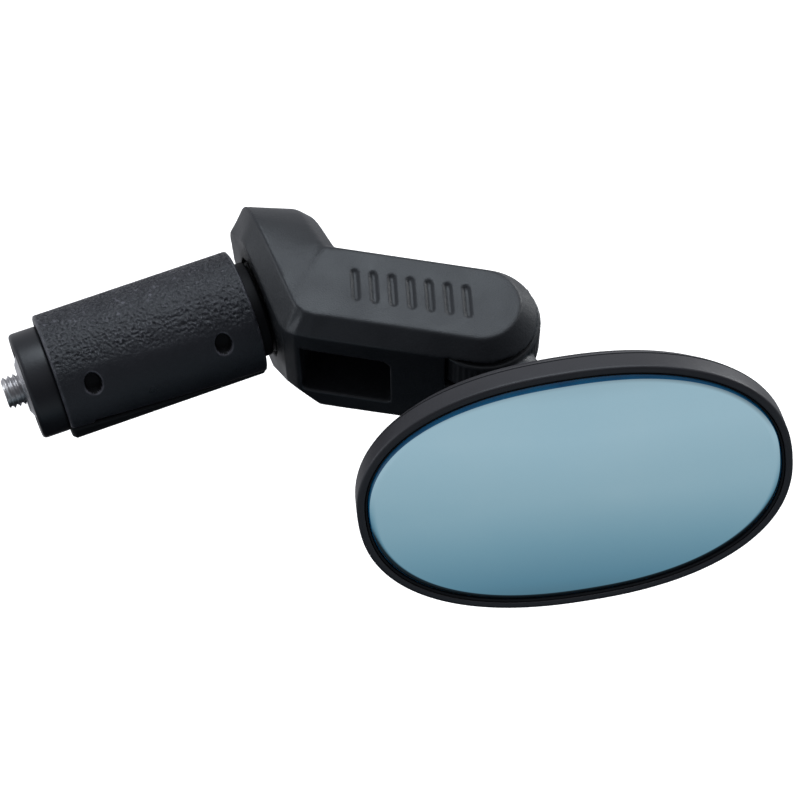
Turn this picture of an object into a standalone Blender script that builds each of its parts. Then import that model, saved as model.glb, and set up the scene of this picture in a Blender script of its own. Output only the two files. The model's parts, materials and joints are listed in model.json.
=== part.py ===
"""Bar-end bicycle mirror: an expander plug, a bent arm with a folding hinge, an oval head on a ball.

Frame: metres, +Z up. The origin is on the plug's axis, in the plane of the boss face that stops against
the end of the handlebar. The plug lies along -X, the arm and the mirror lie towards +X, and the rider is on
the -Y side.
"""

import math

import bmesh
import bpy
from mathutils import Euler, Matrix, Vector

MM = 0.001
GAP = 0.3 * MM
ROUND_SEGMENTS = 32
SMALL_SEGMENTS = 20

# Expander plug, lengths along -X from the boss face.
SLEEVE_RADIUS = 9.75 * MM
SLEEVE_NEAR = -2.2 * MM
SLEEVE_FAR = -33.0 * MM
SLEEVE_BORE = 5.6 * MM
SPLIT_GAP = 0.9 * MM
SPLIT_TILT = math.radians(6.8)
SPLIT_AT = Vector((-29.7, 0, 0.1)) * MM
NECK_RADIUS = 7.4 * MM
CONE_LENGTH = 9.0 * MM
TIP_RADIUS = 8.2 * MM
TIP_END = -37.3 * MM
BOLT_RADIUS = 2.5 * MM
BOLT_END = -40.5 * MM
BOLT_HOLE = BOLT_RADIUS + GAP
PAD_HOLES = ((-28.0 * MM, math.radians(47)), (-8.0 * MM, math.radians(52)))
PAD_HOLE_HALF = (1.3 * MM, 1.75 * MM)

# Boss, the disc that the arm grows out of.
BOSS_FRONT = 2.6 * MM
BOSS_REAR = 10.0 * MM
BOSS_WIDTH = 12.0 * MM
FAR_SIDE_CORNERS = 9
STOP_FACE_BORE = 7.8 * MM
BUSH_BORE = 4.0 * MM
BOLT_SEAT = 5.2 * MM
BOLT_HEAD_BORE = 5.1 * MM
BOLT_HEAD_RADIUS = 4.2 * MM
BOLT_SOCKET = 2.3 * MM

# Arm, in its own plan axes: u along the arm, v across it.
ARM_TURN = math.radians(-32)
ARM_TOP = 15.0 * MM
ARM_BOTTOM = -8.0 * MM
ARM_HALF_WIDTH = 7.95 * MM
ARM_MIDDLE_V = -3.2 * MM
HINGE_U = 34.9 * MM
TOP_HALF_WIDTH = 5.85 * MM
TOP_CENTRE = (34.2 * MM, -2.65 * MM)
POCKET_U = (8.8 * MM, 22.3 * MM)
POCKET_Z = (-3.4 * MM, 8.6 * MM)
POCKET_DEPTH = 7.8 * MM

# Folding hinge.
FORK_TOP = 12.4 * MM
FORK_BOTTOM = 4.0 * MM
FORK_CLEAR_RADIUS = 8.9 * MM
BARREL_RADIUS = 8.35 * MM
BARREL_Z = (4.95 * MM, 11.45 * MM)
PIVOT_RADIUS = 2.0 * MM
WASHER_THICKNESS = 0.65 * MM

# Mirror head: an oval on a ball joint.
BALL_CENTRE = Vector((31.0, -43.6, 8.8)) * MM
BALL_RADIUS = 4.5 * MM
MIRROR_TURN = Euler((math.radians(61.6), math.radians(-4.5), math.radians(-14.1)))
GLASS_DEPTH = 11.0 * MM
GLASS_HALF = (28.6 * MM, 17.7 * MM)
GLASS_THICKNESS = 2.0 * MM
GLASS_CROWN = 0.8 * MM
RIM_WIDTH = 2.0 * MM
RIM_DEPTH = 5.0 * MM
OVAL_POWER = 2.27
OVAL_SEGMENTS = 48
SOCKET_RADIUS = 5.5 * MM
SOCKET_OPENING = math.radians(56)
SOCKET_SCREWS = 3

arm_axes = Matrix.Rotation(ARM_TURN, 4, "Z")
hinge_axes = arm_axes @ Matrix.Translation((HINGE_U, ARM_MIDDLE_V, 0))
mirror_axes = Matrix.Translation(BALL_CENTRE) @ MIRROR_TURN.to_matrix().to_4x4()
ALONG_Z = Matrix.Rotation(math.radians(-90), 4, "Y")


def clear_scene():
    for obj in list(bpy.data.objects):
        bpy.data.objects.remove(obj, do_unlink=True)


def material(name, colour, roughness, metallic=0.0):
    made = bpy.data.materials.new(name)
    made.use_nodes = True
    shader = made.node_tree.nodes["Principled BSDF"]
    shader.inputs["Base Color"].default_value = (*colour, 1.0)
    shader.inputs["Roughness"].default_value = roughness
    shader.inputs["Metallic"].default_value = metallic
    return made


def axis_empty(name, matrix, parent=None):
    empty = bpy.data.objects.new(name, None)
    bpy.context.collection.objects.link(empty)
    if parent is not None:
        empty.parent = parent
        empty.matrix_parent_inverse = parent.matrix_world.inverted()
    empty.matrix_world = matrix
    bpy.context.view_layer.update()
    return empty


def finish(name, bm, look, parent, smooth=True):
    """Turns the bmesh, whose points are in its parent's axes, into a named object."""
    bmesh.ops.recalc_face_normals(bm, faces=bm.faces)
    mesh = bpy.data.meshes.new(name)
    bm.to_mesh(mesh)
    bm.free()
    if smooth:
        mesh.shade_smooth()
        mesh.set_sharp_from_angle(angle=math.radians(30))
    obj = bpy.data.objects.new(name, mesh)
    bpy.context.collection.objects.link(obj)
    obj.parent = parent
    if look is not None:
        mesh.materials.append(look)
    return obj


def join_rings(bm, first, second):
    """Faces between two rings of points, either of which may be one point on the axis."""
    count = max(len(first), len(second))
    for i in range(count):
        corners = (
            first[i % len(first)],
            first[(i + 1) % len(first)],
            second[(i + 1) % len(second)],
            second[i % len(second)],
        )
        bm.faces.new(list(dict.fromkeys(corners)))


def loft(rings):
    """A closed solid through rings with the same number of points, with flat ends."""
    bm = bmesh.new()
    rows = [[bm.verts.new(point) for point in ring] for ring in rings]
    for first, second in zip(rows, rows[1:]):
        join_rings(bm, first, second)
    bm.faces.new(rows[0])
    bm.faces.new(rows[-1])
    return bm


def turned(profile, segments=ROUND_SEGMENTS, turn=Matrix.Identity(4)):
    """A solid of revolution round X. The profile's points are (x, radius). It is a closed loop,
    unless it starts and ends on the axis."""
    bm = bmesh.new()
    rows = []
    for x, radius in profile:
        if radius == 0:
            rows.append([bm.verts.new(turn @ Vector((x, 0, 0)))])
            continue
        row = []
        for i in range(segments):
            angle = math.tau * i / segments
            point = Vector((x, radius * math.cos(angle), radius * math.sin(angle)))
            row.append(bm.verts.new(turn @ point))
        rows.append(row)
    for first, second in zip(rows, rows[1:]):
        join_rings(bm, first, second)
    if profile[0][1] and profile[-1][1]:
        join_rings(bm, rows[-1], rows[0])
    return bm


def washer(x, thickness, inner, outer, turn=Matrix.Identity(4), segments=ROUND_SEGMENTS):
    ends = (x, x + thickness)
    return turned([(ends[0], inner), (ends[0], outer), (ends[1], outer), (ends[1], inner)], segments, turn)


def rod(x_from, x_to, radius, turn=Matrix.Identity(4), segments=ROUND_SEGMENTS):
    return turned([(x_from, 0), (x_from, radius), (x_to, radius), (x_to, 0)], segments, turn)


def box(low, high):
    bm = bmesh.new()
    bmesh.ops.create_cube(bm, size=1)
    low, high = Vector(low), Vector(high)
    size = high - low
    for vert in bm.verts:
        vert.co = (low + high) / 2 + Vector(a * b for a, b in zip(vert.co, size))
    return bm


def cut(obj, bm, operation="DIFFERENCE"):
    """Cuts a hidden solid from the object, or joins it on. Its points are in the object's own axes."""
    tool = finish(f"{obj.name}_tool_{len(obj.modifiers)}", bm, None, obj.parent, smooth=False)
    tool.hide_render = True
    tool.display_type = "WIRE"
    modifier = obj.modifiers.new(tool.name, "BOOLEAN")
    modifier.operation = operation
    modifier.object = tool
    modifier.solver = "EXACT"


def arc(centre, radius, start, end, steps):
    """Points on an arc in plan, both ends included."""
    points = []
    for i in range(steps + 1):
        angle = start + (end - start) * i / steps
        points.append(centre + radius * Vector((math.cos(angle), math.sin(angle))))
    return points


def oval(half_length, half_height, z, segments=OVAL_SEGMENTS):
    """A superellipse in the mirror's plane, rounder than an ellipse at its corners."""
    ring = []
    for i in range(segments):
        angle = math.tau * i / segments
        along, up = math.cos(angle), math.sin(angle)
        x = half_length * math.copysign(abs(along) ** (2 / OVAL_POWER), along)
        y = half_height * math.copysign(abs(up) ** (2 / OVAL_POWER), up)
        ring.append(Vector((x, y, z)))
    return ring


def glass_oval(offset, z):
    return oval(GLASS_HALF[0] + offset, GLASS_HALF[1] + offset, z)


def scaled_oval(scale, offset, z):
    return oval((GLASS_HALF[0] + offset) * scale, (GLASS_HALF[1] + offset) * scale, z)


# ---------------------------------------------------------------- expander plug


def half_sleeve(name, side, look, parent):
    """One half of the expanding sleeve: coned at both ends, so that the wedges spread it."""
    mouth_far = TIP_RADIUS + 0.35 * MM
    mouth_near = NECK_RADIUS + 0.45 * MM
    edge = 0.4 * MM
    profile = [
        (SLEEVE_FAR, mouth_far),
        (SLEEVE_FAR, SLEEVE_RADIUS - edge),
        (SLEEVE_FAR + edge, SLEEVE_RADIUS),
        (SLEEVE_NEAR - edge, SLEEVE_RADIUS),
        (SLEEVE_NEAR, SLEEVE_RADIUS - edge),
        (SLEEVE_NEAR, mouth_near),
        (SLEEVE_NEAR - CONE_LENGTH, SLEEVE_BORE),
        (SLEEVE_FAR + CONE_LENGTH, SLEEVE_BORE),
    ]
    obj = finish(name, turned(profile, 48), look, parent)
    reach = 3 * SLEEVE_RADIUS
    low_z, high_z = sorted((side * SPLIT_GAP / 2, -side * reach))
    other_half = box((-reach, -reach, low_z), (2 * reach, reach, high_z))
    other_half.transform(Matrix.Translation(SPLIT_AT) @ Matrix.Rotation(SPLIT_TILT, 4, "Y"))
    cut(obj, other_half)
    return obj


def pad_hole(x, angle):
    """A shallow oval hole in the sleeve's smooth lower band."""
    turn = Matrix.Rotation(angle, 4, "X") @ Matrix.Translation((x, 0, 0))
    half_length, half_height = PAD_HOLE_HALF
    ring = []
    for i in range(SMALL_SEGMENTS):
        around = math.tau * i / SMALL_SEGMENTS
        ring.append(Vector((half_length * math.cos(around), half_height * math.sin(around), 0)))
    ends = (SLEEVE_RADIUS - 1.1 * MM, SLEEVE_RADIUS + 1.5 * MM)
    return loft([[turn @ (point + Vector((0, 0, z))) for point in ring] for z in ends])


def build_plug(looks):
    plug = axis_empty("plug_axis", Matrix.Identity(4))
    spread_up = axis_empty("sleeve_upper_slide", Matrix.Identity(4), plug)
    spread_down = axis_empty("sleeve_lower_slide", Matrix.Identity(4), plug)
    draw = axis_empty("tip_slide", Matrix.Identity(4), plug)
    bolt_axis = axis_empty("bolt_axis", Matrix.Identity(4), plug)

    near_cone = SLEEVE_NEAR - 0.2 * MM
    root = [
        (-GAP, BOLT_HOLE),
        (-GAP, NECK_RADIUS - 0.3 * MM),
        (-2 * GAP, NECK_RADIUS),
        (near_cone, NECK_RADIUS),
        (near_cone - CONE_LENGTH, SLEEVE_BORE - 0.45 * MM),
        (near_cone - CONE_LENGTH, BOLT_HOLE),
    ]
    finish("root_wedge", turned(root), looks["plastic"], plug)

    upper = half_sleeve("sleeve_upper", 1, looks["rough_plastic"], spread_up)
    for x, angle in PAD_HOLES:
        cut(upper, pad_hole(x, angle))
    half_sleeve("sleeve_lower", -1, looks["plastic"], spread_down)

    edge = 1.3 * MM
    cup = 6.6 * MM
    tip = [
        (TIP_END + 1.4 * MM, BOLT_HOLE),
        (TIP_END + 1.4 * MM, cup),
        (TIP_END, cup),
        (TIP_END, TIP_RADIUS - edge),
        (TIP_END + 0.4 * edge, TIP_RADIUS - 0.35 * edge),
        (TIP_END + edge, TIP_RADIUS),
        (SLEEVE_FAR - 0.3 * MM, TIP_RADIUS),
        (SLEEVE_FAR + CONE_LENGTH, SLEEVE_BORE - 0.45 * MM),
        (SLEEVE_FAR + CONE_LENGTH, BOLT_HOLE),
    ]
    finish("tip_wedge", turned(tip), looks["plastic"], draw)

    nut_back = TIP_END + 1.4 * MM - 0.15 * MM
    nut = [
        (nut_back, BOLT_HOLE),
        (TIP_END - 0.5 * MM, BOLT_HOLE),
        (TIP_END - 0.5 * MM, 3.9 * MM),
        (TIP_END + 0.15 * MM, 5.0 * MM),
        (TIP_END + 0.3 * MM, cup - 0.25 * MM),
        (nut_back, cup - 0.25 * MM),
    ]
    finish("wedge_nut", turned(nut, 24), looks["steel"], draw)

    head = (BOLT_SEAT + 1.0 * MM, BOLT_SEAT + 5.0 * MM)
    bolt = [
        (BOLT_END, 0),
        (BOLT_END, BOLT_RADIUS - 0.35 * MM),
        (BOLT_END + 0.35 * MM, BOLT_RADIUS),
        (head[0], BOLT_RADIUS),
        (head[0], BOLT_HEAD_RADIUS),
        (head[1] - 0.3 * MM, BOLT_HEAD_RADIUS),
        (head[1], BOLT_HEAD_RADIUS - 0.3 * MM),
        (head[1], 0),
    ]
    clamp_bolt = finish("clamp_bolt", turned(bolt, 24), looks["steel"], bolt_axis)
    cut(clamp_bolt, rod(head[1] - 2.4 * MM, head[1] + 1 * MM, BOLT_SOCKET, segments=6))
    return plug


# ---------------------------------------------------------------- boss and arm


def round_off(line, passes=2):
    """Cuts the corners of a line off, again and again. Its ends stay."""
    for _ in range(passes):
        cut_line = [line[0]]
        for first, second in zip(line, line[1:]):
            cut_line += [first.lerp(second, 0.25), first.lerp(second, 0.75)]
        line = [cut_line[0], *cut_line[2:-2], line[-1]]
    return line


def boss_solid():
    """The boss, a disc round the plug's axis. It is chamfered all round, its far side is round, and it
    tapers away from the plug. Each row of the table is one corner in mm: (y, z) at the stop face, at
    BOSS_FRONT and at BOSS_REAR."""
    corners = [
        ((-9.0, 10.6), (-9.0, 14.95), (-9.0, 14.9)),
        ((-3.0, 10.6), (-3.0, 14.8), (-2.6, 14.9)),
        ((2.0, 10.6), (2.6, 14.5), (1.0, 13.4)),
        ((5.4, 10.6), (6.6, 13.9), (4.4, 11.9)),
        ((7.8, 8.2), (9.9, 11.8), (7.6, 10.0)),
        ((10.3, 5.7), (12.6, 8.8), (10.3, 7.2)),
        ((12.8, 3.2), (14.3, 5.0), (12.0, 4.0)),
        ((13.2, -0.4), (14.8, -0.4), (12.5, 0.0)),
        ((12.4, -4.6), (14.2, -5.6), (12.0, -4.8)),
        ((4.6, -11.2), (5.6, -14.2), (4.8, -12.6)),
        ((-4.2, -11.2), (-6.3, -14.2), (-5.6, -12.6)),
        ((-11.7, -3.7), (-13.6, -6.9), (-13.0, -6.2)),
        ((-11.7, 8.3), (-13.6, 9.5), (-13.0, 9.5)),
        ((-10.3, 10.6), (-12.0, 12.6), (-12.0, 13.0)),
    ]
    rings = []
    for x, section in ((0, 0), (BOSS_FRONT, 1), (BOSS_REAR, 2)):
        ring = [Vector((x, corner[section][0] * MM, corner[section][1] * MM)) for corner in corners]
        rings.append(round_off(ring[:FAR_SIDE_CORNERS]) + ring[FAR_SIDE_CORNERS:])
    front, rear = rings[1], rings[2]
    twist_steps = 5
    between = []
    for i in range(1, twist_steps):
        between.append([a.lerp(b, i / twist_steps) for a, b in zip(front, rear)])
    rings[2:2] = between
    rear_face = []
    for point in rings[-1]:
        radius = math.hypot(point.y, point.z)
        scale = 1 - (BOSS_WIDTH - BOSS_REAR) / radius
        rear_face.append(Vector((BOSS_WIDTH, point.y * scale, point.z * scale)))
    return loft([*rings, rear_face])


def on_side(x, v):
    """The plan point of the arm's long side v at this x."""
    return Vector((x, (v - x * math.sin(-ARM_TURN)) / math.cos(ARM_TURN)))


def arm_outline(start, centre, half_width, near_x, far_x):
    """An outline of the arm in plan. It starts with the given corners in mm, which run from the far side
    inside the boss round the near corner, and goes on along the near side and round the hinge end."""
    hinge = (arm_axes @ Vector((*centre, 0))).to_2d()
    turn = math.radians(90)
    return [
        *[Vector(point) * MM for point in start],
        on_side(near_x, centre[1] - half_width),
        *arc(hinge, half_width, ARM_TURN - turn, ARM_TURN + turn, 24),
        on_side(far_x, centre[1] + half_width),
    ]


def arm_solid():
    """The arm: chamfered round the top, with the chamfer deeper where it runs into the boss."""
    top_start = [(10.2, -2.6), (2.6, -9.0), (2.7, -10.6), (3.4, -12.0), (4.7, -13.1)]
    wall_start = [(8.2, 1.0), (0.0, -8.6), (0.0, -10.3), (0.3, -12.2), (1.1, -13.6)]
    top = arm_outline(top_start, TOP_CENTRE, TOP_HALF_WIDTH, 6.5 * MM, 11.9 * MM)
    wall = arm_outline(wall_start, (HINGE_U, ARM_MIDDLE_V), ARM_HALF_WIDTH, 3.0 * MM, 9.8 * MM)
    middle = sum(wall, Vector((0, 0))) / len(wall)
    bottom_inset = 1.2 * MM
    bottom = [point + (middle - point).normalized() * bottom_inset for point in wall]
    chamfer_z = 12.5 * MM
    chamfer_at_boss = [12.0 * MM, 10.6 * MM, 10.6 * MM, 11.4 * MM, 12.3 * MM]
    chamfer = chamfer_at_boss + [chamfer_z] * (len(wall) - len(chamfer_at_boss))
    rings = [
        [point.to_3d() + Vector((0, 0, ARM_TOP)) for point in top],
        [point.to_3d() + Vector((0, 0, z)) for point, z in zip(wall, chamfer)],
        [point.to_3d() + Vector((0, 0, ARM_BOTTOM + bottom_inset)) for point in wall],
        [point.to_3d() + Vector((0, 0, ARM_BOTTOM)) for point in bottom],
    ]
    bm = loft(rings)
    trim_corner(bm)
    return bm


def trim_corner(bm):
    """Trims the arm's lower near corner along the boss's own slanting face."""
    face = [Vector(point) * MM for point in ((0, -11.7, -3.7), (0, -4.2, -11.2), (2.6, -13.6, -6.9))]
    normal = (face[1] - face[0]).cross(face[2] - face[0]).normalized()
    if normal.z > 0:
        normal.negate()
    cut_edges = bmesh.ops.bisect_plane(
        bm,
        geom=[*bm.verts, *bm.edges, *bm.faces],
        plane_co=face[0],
        plane_no=normal,
        clear_outer=True,
    )["geom_cut"]
    bmesh.ops.edgeloop_fill(bm, edges=[item for item in cut_edges if isinstance(item, bmesh.types.BMEdge)])


def pocket_solid():
    """The arm's front pocket, open on the near side."""
    near_v = ARM_MIDDLE_V - ARM_HALF_WIDTH
    corner = 1.6 * MM
    turn = math.radians(90)
    (u_low, u_high), (z_low, z_high) = POCKET_U, POCKET_Z
    outline = [
        Vector((u_low, z_low)),
        Vector((u_high, z_low)),
        *arc(Vector((u_high - corner, z_high - corner)), corner, 0, turn, 4),
        Vector((u_low, z_high)),
    ]
    rings = []
    for v in (near_v - 3 * MM, near_v + POCKET_DEPTH):
        rings.append([arm_axes @ Vector((u, v, z)) for u, z in outline])
    return loft(rings)


def fork_solid():
    """The slot of the hinge fork: round where the barrel turns, and open at the arm's end."""
    quarter = math.radians(90)
    outline = arc(Vector((0, 0)), FORK_CLEAR_RADIUS, quarter, 3 * quarter, 24)
    outline += [Vector((15 * MM, -FORK_CLEAR_RADIUS)), Vector((15 * MM, FORK_CLEAR_RADIUS))]
    return loft([[Vector((x, y, z)) for x, y in outline] for z in (FORK_BOTTOM, FORK_TOP)])


def at_hinge(bm):
    bm.transform(hinge_axes)
    return bm


def build_arm(looks, plug):
    arm = axis_empty("arm_turn_axis", Matrix.Identity(4), plug)
    housing = finish("arm_housing", arm_solid(), looks["plastic"], arm)
    cut(housing, boss_solid(), "UNION")
    cut(housing, pocket_solid())
    cut(housing, at_hinge(fork_solid()))
    pivot_head = PIVOT_RADIUS + 1.9 * MM
    pivot = [
        (ARM_BOTTOM - 2 * MM, 0),
        (ARM_BOTTOM - 2 * MM, pivot_head),
        (ARM_BOTTOM + 3.6 * MM, pivot_head),
        (ARM_BOTTOM + 3.6 * MM, PIVOT_RADIUS + GAP),
        (FORK_TOP - 1 * MM, PIVOT_RADIUS + GAP),
        (FORK_TOP - 1 * MM, 3.8 * MM),
        (FORK_TOP + 1.7 * MM, 3.8 * MM),
        (FORK_TOP + 1.7 * MM, 0),
    ]
    cut(housing, at_hinge(turned(pivot, SMALL_SEGMENTS, ALONG_Z)))
    bore = [
        (-2 * MM, 0),
        (-2 * MM, STOP_FACE_BORE),
        (1.2 * MM, STOP_FACE_BORE),
        (1.2 * MM, BUSH_BORE),
        (BOLT_SEAT, BUSH_BORE),
        (BOLT_SEAT, BOLT_HEAD_BORE),
        (BOSS_WIDTH + 9 * MM, BOLT_HEAD_BORE),
        (BOSS_WIDTH + 9 * MM, 0),
    ]
    cut(housing, turned(bore, 24))

    finish("turn_washer", washer(0.15 * MM, 0.8 * MM, BOLT_HOLE, 7.2 * MM), looks["nylon"], arm)
    bush = washer(1.4 * MM, 3.5 * MM, BOLT_HOLE, BUSH_BORE - 0.3 * MM, segments=24)
    finish("boss_bush", bush, looks["steel"], arm)
    seat_washer = washer(BOLT_SEAT + 0.1 * MM, 0.7 * MM, BOLT_HOLE, BOLT_HEAD_BORE - 0.3 * MM)
    finish("bolt_washer", seat_washer, looks["steel"], arm)

    hinge = axis_empty("fold_axis_on_arm", hinge_axes, arm)
    bolt_top = FORK_TOP + 1.5 * MM
    bolt_bottom = ARM_BOTTOM + 0.5 * MM
    bolt = [
        (bolt_bottom, 0),
        (bolt_bottom, PIVOT_RADIUS + 1.2 * MM),
        (bolt_bottom + 0.3 * MM, PIVOT_RADIUS + 1.5 * MM),
        (bolt_bottom + 2.9 * MM, PIVOT_RADIUS + 1.5 * MM),
        (bolt_bottom + 2.9 * MM, PIVOT_RADIUS),
        (bolt_top, PIVOT_RADIUS),
        (bolt_top, 0),
    ]
    pivot_bolt = finish("hinge_bolt", turned(bolt, SMALL_SEGMENTS, ALONG_Z), looks["steel"], hinge)
    key = rod(bolt_bottom - 1 * MM, bolt_bottom + 1.8 * MM, 1.45 * MM, ALONG_Z, 6)
    cut(pivot_bolt, key)
    finish("hinge_nut", hex_nut(FORK_TOP + 0.1 * MM, 1.3 * MM, 3.5 * MM), looks["steel"], hinge)
    for name, z in (
        ("friction_washer_top", BARREL_Z[1] + 0.15 * MM),
        ("friction_washer_bottom", FORK_BOTTOM + 0.15 * MM),
    ):
        ring = washer(z, WASHER_THICKNESS, PIVOT_RADIUS + GAP, 6.5 * MM, ALONG_Z)
        finish(name, ring, looks["nylon"], hinge)
    return arm


def hex_nut(z, thickness, corner_radius):
    """A thin hexagonal nut with a round hole, made as rings of points so that no cut is needed."""
    bm = bmesh.new()
    count = 24
    rows = []
    for height, outer in ((z, False), (z, True), (z + thickness, True), (z + thickness, False)):
        row = []
        for i in range(count):
            angle = math.tau * i / count
            radius = PIVOT_RADIUS + GAP
            if outer:
                in_side = (angle + math.radians(30)) % math.radians(60) - math.radians(30)
                flat = corner_radius * math.cos(math.radians(30))
                radius = flat / math.cos(in_side)
            row.append(bm.verts.new((radius * math.cos(angle), radius * math.sin(angle), height)))
        rows.append(row)
    for first, second in zip(rows, [*rows[1:], rows[0]]):
        join_rings(bm, first, second)
    return bm


# ---------------------------------------------------------------- knuckle and ball


def neck_path(steps):
    """Centres and directions along the knuckle's neck, from inside the barrel to the ball's shank."""
    hinge = hinge_axes.to_translation()
    start = Vector((hinge.x, hinge.y, sum(BARREL_Z) / 2))
    bend = Vector((31.6, -36.5, 7.6)) * MM
    points = []
    for i in range(steps + 1):
        t = i / steps
        point = (1 - t) ** 2 * start + 2 * t * (1 - t) * bend + t**2 * BALL_CENTRE
        slope = 2 * (1 - t) * (bend - start) + 2 * t * (BALL_CENTRE - bend)
        points.append((point, slope.normalized()))
    return points


def stud_axes():
    """Axes at the ball's centre with X along the shank, away from the ball."""
    _, towards_ball = neck_path(1)[-1]
    along = -towards_ball
    side = Vector((0, 0, 1)).cross(along).normalized()
    up = along.cross(side)
    turn = Matrix((along, side, up)).transposed().to_4x4()
    return Matrix.Translation(BALL_CENTRE) @ turn


def neck_solid(stop_before_ball):
    """The neck: a tapering oval tube swept along its path."""
    rings = []
    path = neck_path(24)
    for i, (point, direction) in enumerate(path):
        if (BALL_CENTRE - point).length < stop_before_ball:
            break
        t = i / (len(path) - 1)
        half_width = (3.9 - 1.0 * t) * MM
        half_height = (3.05 - 0.15 * t) * MM
        side = Vector((0, 0, 1)).cross(direction).normalized()
        up = direction.cross(side)
        ring = []
        for k in range(SMALL_SEGMENTS):
            angle = math.tau * k / SMALL_SEGMENTS
            ring.append(point + side * half_width * math.cos(angle) + up * half_height * math.sin(angle))
        rings.append(ring)
    return loft(rings[::2])


def build_knuckle(looks, arm):
    fold = axis_empty("fold_axis", hinge_axes, arm)
    to_fold = hinge_axes.inverted()
    low, high = BARREL_Z
    edge = 0.3 * MM
    barrel = [
        (low, PIVOT_RADIUS + GAP),
        (low, BARREL_RADIUS - edge),
        (low + edge, BARREL_RADIUS),
        (high - edge, BARREL_RADIUS),
        (high, BARREL_RADIUS - edge),
        (high, PIVOT_RADIUS + GAP),
    ]
    knuckle = finish("knuckle", turned(barrel, 40, ALONG_Z), looks["plastic"], fold)
    neck = neck_solid(7.0 * MM)
    neck.transform(to_fold)
    cut(knuckle, neck, "UNION")
    pivot_hole = rod(low - 2 * MM, high + 2 * MM, PIVOT_RADIUS + GAP, ALONG_Z, ROUND_SEGMENTS)
    cut(knuckle, pivot_hole)
    stud = stud_axes()
    shank_end = 12.0 * MM
    shank_hole = rod(3 * MM, shank_end + GAP, 1.9 * MM, segments=SMALL_SEGMENTS)
    shank_hole.transform(to_fold @ stud)
    cut(knuckle, shank_hole)
    pin_at = 9.6 * MM
    pin_turn = stud @ Matrix.Translation((pin_at, 0, 0)) @ Matrix.Rotation(math.radians(90), 4, "Z")
    pin_hole = rod(1.9 * MM - 0.4 * MM, 6 * MM, 0.85 * MM, segments=12)
    pin_hole.transform(to_fold @ pin_turn)
    cut(knuckle, pin_hole)
    pin = rod(1.6 * MM + 0.15 * MM, 3.3 * MM, 0.6 * MM, segments=12)
    pin.transform(to_fold @ pin_turn)
    finish("stud_pin", pin, looks["steel"], fold)

    ball = [(-BALL_RADIUS, 0)]
    steps = 12
    neck_radius = 1.6 * MM
    open_angle = math.asin(neck_radius / BALL_RADIUS)
    for i in range(1, steps + 1):
        angle = math.pi - (math.pi - open_angle) * i / steps
        ball.append((BALL_RADIUS * math.cos(angle), BALL_RADIUS * math.sin(angle)))
    ball.append((shank_end, neck_radius))
    ball.append((shank_end, 0))
    ball_bm = turned(ball, 24)
    ball_bm.transform(to_fold @ stud)
    finish("ball_stud", ball_bm, looks["steel"], fold)
    return fold


# ---------------------------------------------------------------- mirror head, in axes at the ball's centre


def sphere_points(radius, start, end, steps):
    """Profile points on a sphere at the ball's centre. The angles count from the glass side."""
    points = []
    for i in range(steps + 1):
        angle = start + (end - start) * i / steps
        points.append((radius * math.cos(angle), radius * math.sin(angle)))
    return points


def build_head(looks, fold):
    tilt = axis_empty("ball_tilt_axis", mirror_axes, fold)
    swing = axis_empty("ball_swing_axis", mirror_axes, tilt)
    opening = math.pi - SOCKET_OPENING
    shell_back = GLASS_DEPTH - 8.0 * MM

    liner = [
        *sphere_points(4.7 * MM, math.radians(22), opening, 8),
        *reversed(sphere_points(5.3 * MM, math.radians(22), opening, 8)),
    ]
    finish("ball_liner", turned(liner, 24, ALONG_Z), looks["nylon"], tilt)

    cup_radius = 8.0 * MM
    cup = [
        *sphere_points(SOCKET_RADIUS, math.radians(14), math.radians(90), 6),
        (0, cup_radius),
        (shell_back + 0.4 * MM, cup_radius),
        (5.9 * MM, cup_radius - 1.5 * MM),
        (6.6 * MM, cup_radius - 3 * MM),
        (6.6 * MM, SOCKET_RADIUS * math.sin(math.radians(14))),
    ]
    socket_cup = finish("socket_cup", turned(cup, ROUND_SEGMENTS, ALONG_Z), looks["plastic"], swing)

    ring_top = -0.15 * MM
    ring_back = SOCKET_RADIUS * math.cos(opening)
    start = math.acos(ring_top / SOCKET_RADIUS)
    ring = [
        *sphere_points(SOCKET_RADIUS, start, opening, 4),
        (ring_back - 0.1 * MM, SOCKET_RADIUS * math.sin(opening) + 0.6 * MM),
        (ring_back - 0.1 * MM, cup_radius - 0.9 * MM),
        (ring_back + 0.9 * MM, cup_radius),
        (ring_top, cup_radius),
    ]
    socket_ring = finish("socket_ring", turned(ring, ROUND_SEGMENTS, ALONG_Z), looks["plastic"], swing)

    screw_circle = 6.75 * MM
    for i in range(SOCKET_SCREWS):
        angle = math.tau * (i + 0.25) / SOCKET_SCREWS
        place = Matrix.Translation((screw_circle * math.cos(angle), screw_circle * math.sin(angle), 0))
        head_seat = ring_back + 1.3 * MM
        hole = [
            (ring_back - 3 * MM, 0),
            (ring_back - 3 * MM, 1.15 * MM),
            (head_seat, 1.15 * MM),
            (head_seat, 0.7 * MM),
            (1.9 * MM, 0.7 * MM),
            (1.9 * MM, 0),
        ]
        for holder in (socket_ring, socket_cup):
            drill = turned(hole, 12, ALONG_Z)
            drill.transform(place)
            cut(holder, drill)
        screw = [
            (ring_back + 0.2 * MM, 0),
            (ring_back + 0.2 * MM, 0.9 * MM),
            (head_seat - 0.1 * MM, 0.9 * MM),
            (head_seat - 0.1 * MM, 0.5 * MM),
            (1.7 * MM, 0.5 * MM),
            (1.7 * MM, 0),
        ]
        screw_bm = turned(screw, 12, ALONG_Z)
        screw_bm.transform(place)
        finish(f"socket_screw_{i + 1}", screw_bm, looks["steel"], swing)

    build_shell(looks, swing, shell_back, cup_radius)
    build_glass(looks, swing)


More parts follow.
